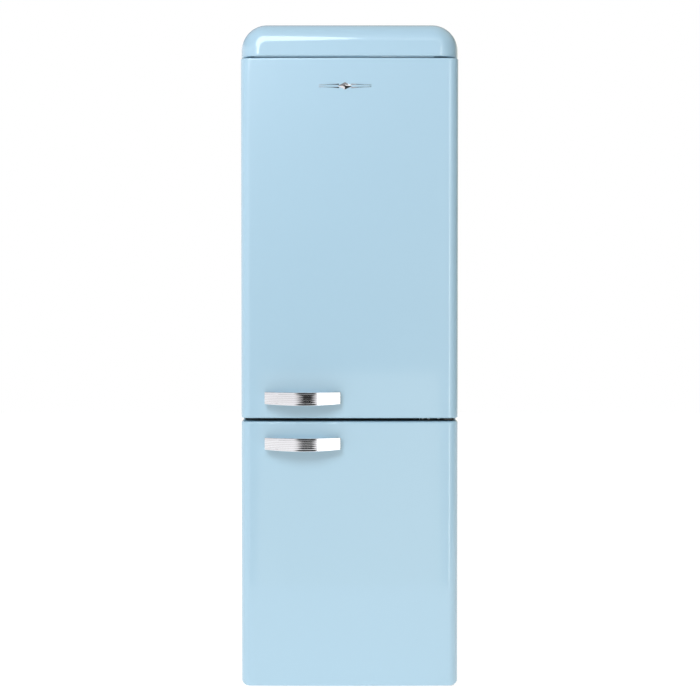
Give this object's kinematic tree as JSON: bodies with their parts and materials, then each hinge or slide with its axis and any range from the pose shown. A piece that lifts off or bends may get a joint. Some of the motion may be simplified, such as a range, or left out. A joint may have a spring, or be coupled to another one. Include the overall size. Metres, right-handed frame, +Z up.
{
  "type": "bottom freezer refrigerator",
  "caption": "Tall retro refrigerator with a rounded top cap, a long upper fridge door and a shorter freezer door below, both with bowed ribbed chrome handles.",
  "frame": {"origin": "on the floor, under the middle of the overall width and depth", "axes": "+Z up, doors face -Y, +X is the side that carries the hinges"},
  "size_m": [0.6, 0.66, 1.85],
  "materials": {
    "sky_blue_enamel": "gloss",
    "sky_blue_plastic": "gloss",
    "zinc_sheet": "satin",
    "insulation": "matte",
    "white_liner": "satin",
    "hinge_steel": "satin",
    "shelf_glass": "polished",
    "clear_plastic": "gloss",
    "white_coated_steel": "satin",
    "aluminium_sheet": "satin",
    "black_steel": "satin",
    "black_plastic": "matte",
    "black_rubber": "matte",
    "seal_rubber": "matte",
    "copper": "satin",
    "handle_chrome": "polished"
  },
  "bodies": {
    "cabinet": {"back_panel": "zinc_sheet", "base_pan": "zinc_sheet", "bottom_hinge": "hinge_steel", "cabinet_foam": "insulation", "cabinet_wrap": "sky_blue_enamel", "compressor": "black_steel", "compressor_base": "zinc_sheet", "compressor_grommets": "black_rubber", "condenser_brackets": "black_plastic", "condenser_tube": "black_steel", "condenser_wires": "black_steel", "control_housing": "white_liner", "cord_gland": "black_plastic", "crisper_cover": "shelf_glass", "drain_tube": "black_plastic", "evaporating_tray": "black_plastic", "filter_drier": "copper", "freezer_evaporator": "white_coated_steel", "freezer_liner": "white_liner", "fridge_evaporator": "aluminium_sheet", "fridge_liner": "white_liner", "hinge_screws": "hinge_steel", "lamp_lens": "clear_plastic", "machine_side_plates": "zinc_sheet", "middle_hinge": "hinge_steel", "refrigerant_tubes": "copper", "roller_brackets": "zinc_sheet", "shelf_1": "shelf_glass", "shelf_2": "shelf_glass", "shelf_3": "shelf_glass", "shelf_trims": "white_liner", "terminal_cover": "black_plastic", "top_cap": "sky_blue_enamel", "top_hinge": "hinge_steel"},
    "fridge_door": {"fridge_door_skin": "sky_blue_enamel", "fridge_door_end_caps": "sky_blue_plastic", "fridge_door_liner": "white_liner", "fridge_door_foam": "insulation", "fridge_door_gasket": "seal_rubber", "fridge_handle": "handle_chrome", "badge": "handle_chrome", "bottle_balcony": "clear_plastic", "middle_balcony": "clear_plastic", "upper_balcony": "clear_plastic"},
    "freezer_door": {"freezer_door_skin": "sky_blue_enamel", "freezer_door_end_caps": "sky_blue_plastic", "freezer_door_liner": "white_liner", "freezer_door_foam": "insulation", "freezer_door_gasket": "seal_rubber", "freezer_handle": "handle_chrome"},
    "thermostat": {"thermostat_knob": "white_liner"},
    "lamp_switch": {"switch_plunger": "white_liner"},
    "crisper": {"crisper_drawer": "clear_plastic"},
    "drawer_top": {"freezer_drawer_top": "clear_plastic"},
    "drawer_middle": {"freezer_drawer_middle": "clear_plastic"},
    "drawer_bottom": {"freezer_drawer_bottom": "clear_plastic"},
    "foot_right": {"front_foot_right": "black_plastic"},
    "foot_left": {"front_foot_left": "black_plastic"},
    "roller_right": {"rear_roller_right": "black_plastic"},
    "roller_left": {"rear_roller_left": "black_plastic"}
  },
  "joints": [
    {"name": "fridge_door_hinge", "type": "hinge", "parent": "cabinet", "child": "fridge_door", "pos_m": [0.282, -0.243, 1.26], "axis": [0, 0, 1], "range_deg": [0, 120]},
    {"name": "freezer_door_hinge", "type": "hinge", "parent": "cabinet", "child": "freezer_door", "pos_m": [0.282, -0.243, 0.3865], "axis": [0, 0, 1], "range_deg": [0, 120]},
    {"name": "thermostat_turn", "type": "hinge", "parent": "cabinet", "child": "thermostat", "pos_m": [0.07, -0.175, 1.686], "axis": [0, 1, 0], "range_deg": [0, 270]},
    {"name": "lamp_switch_travel", "type": "slide", "parent": "cabinet", "child": "lamp_switch", "axis": [0, -1, 0], "range_m": [0, 0.005], "stiffness_N_per_m": 60, "springref_m": 0.006},
    {"name": "crisper_slide", "type": "slide", "parent": "cabinet", "child": "crisper", "axis": [0, -1, 0], "range_m": [0, 0.22]},
    {"name": "drawer_top_slide", "type": "slide", "parent": "cabinet", "child": "drawer_top", "axis": [0, -1, 0], "range_m": [0, 0.1]},
    {"name": "drawer_middle_slide", "type": "slide", "parent": "cabinet", "child": "drawer_middle", "axis": [0, -1, 0], "range_m": [0, 0.13]},
    {"name": "drawer_bottom_slide", "type": "slide", "parent": "cabinet", "child": "drawer_bottom", "axis": [0, -1, 0], "range_m": [0, 0.16]},
    {"name": "foot_right_screw", "type": "slide", "parent": "cabinet", "child": "foot_right", "axis": [0, 0, -1], "range_m": [0, 0.015]},
    {"name": "foot_left_screw", "type": "slide", "parent": "cabinet", "child": "foot_left", "axis": [0, 0, -1], "range_m": [0, 0.015]},
    {"name": "roller_right_spin", "type": "hinge", "parent": "cabinet", "child": "roller_right", "pos_m": [0.235, 0.262, 0.018], "axis": [1, 0, 0], "continuous": true},
    {"name": "roller_left_spin", "type": "hinge", "parent": "cabinet", "child": "roller_left", "pos_m": [-0.235, 0.262, 0.018], "axis": [1, 0, 0], "continuous": true}
  ],
  "couplings": [
    {"joint": "lamp_switch_travel", "follows": "fridge_door_hinge", "m_per_rad": 0.00235},
    {"joint": "crisper_slide", "follows": "fridge_door_hinge", "m_per_rad": 0.105},
    {"joint": "drawer_top_slide", "follows": "freezer_door_hinge", "m_per_rad": 0.045},
    {"joint": "drawer_middle_slide", "follows": "freezer_door_hinge", "m_per_rad": 0.06},
    {"joint": "drawer_bottom_slide", "follows": "freezer_door_hinge", "m_per_rad": 0.075}
  ]
}
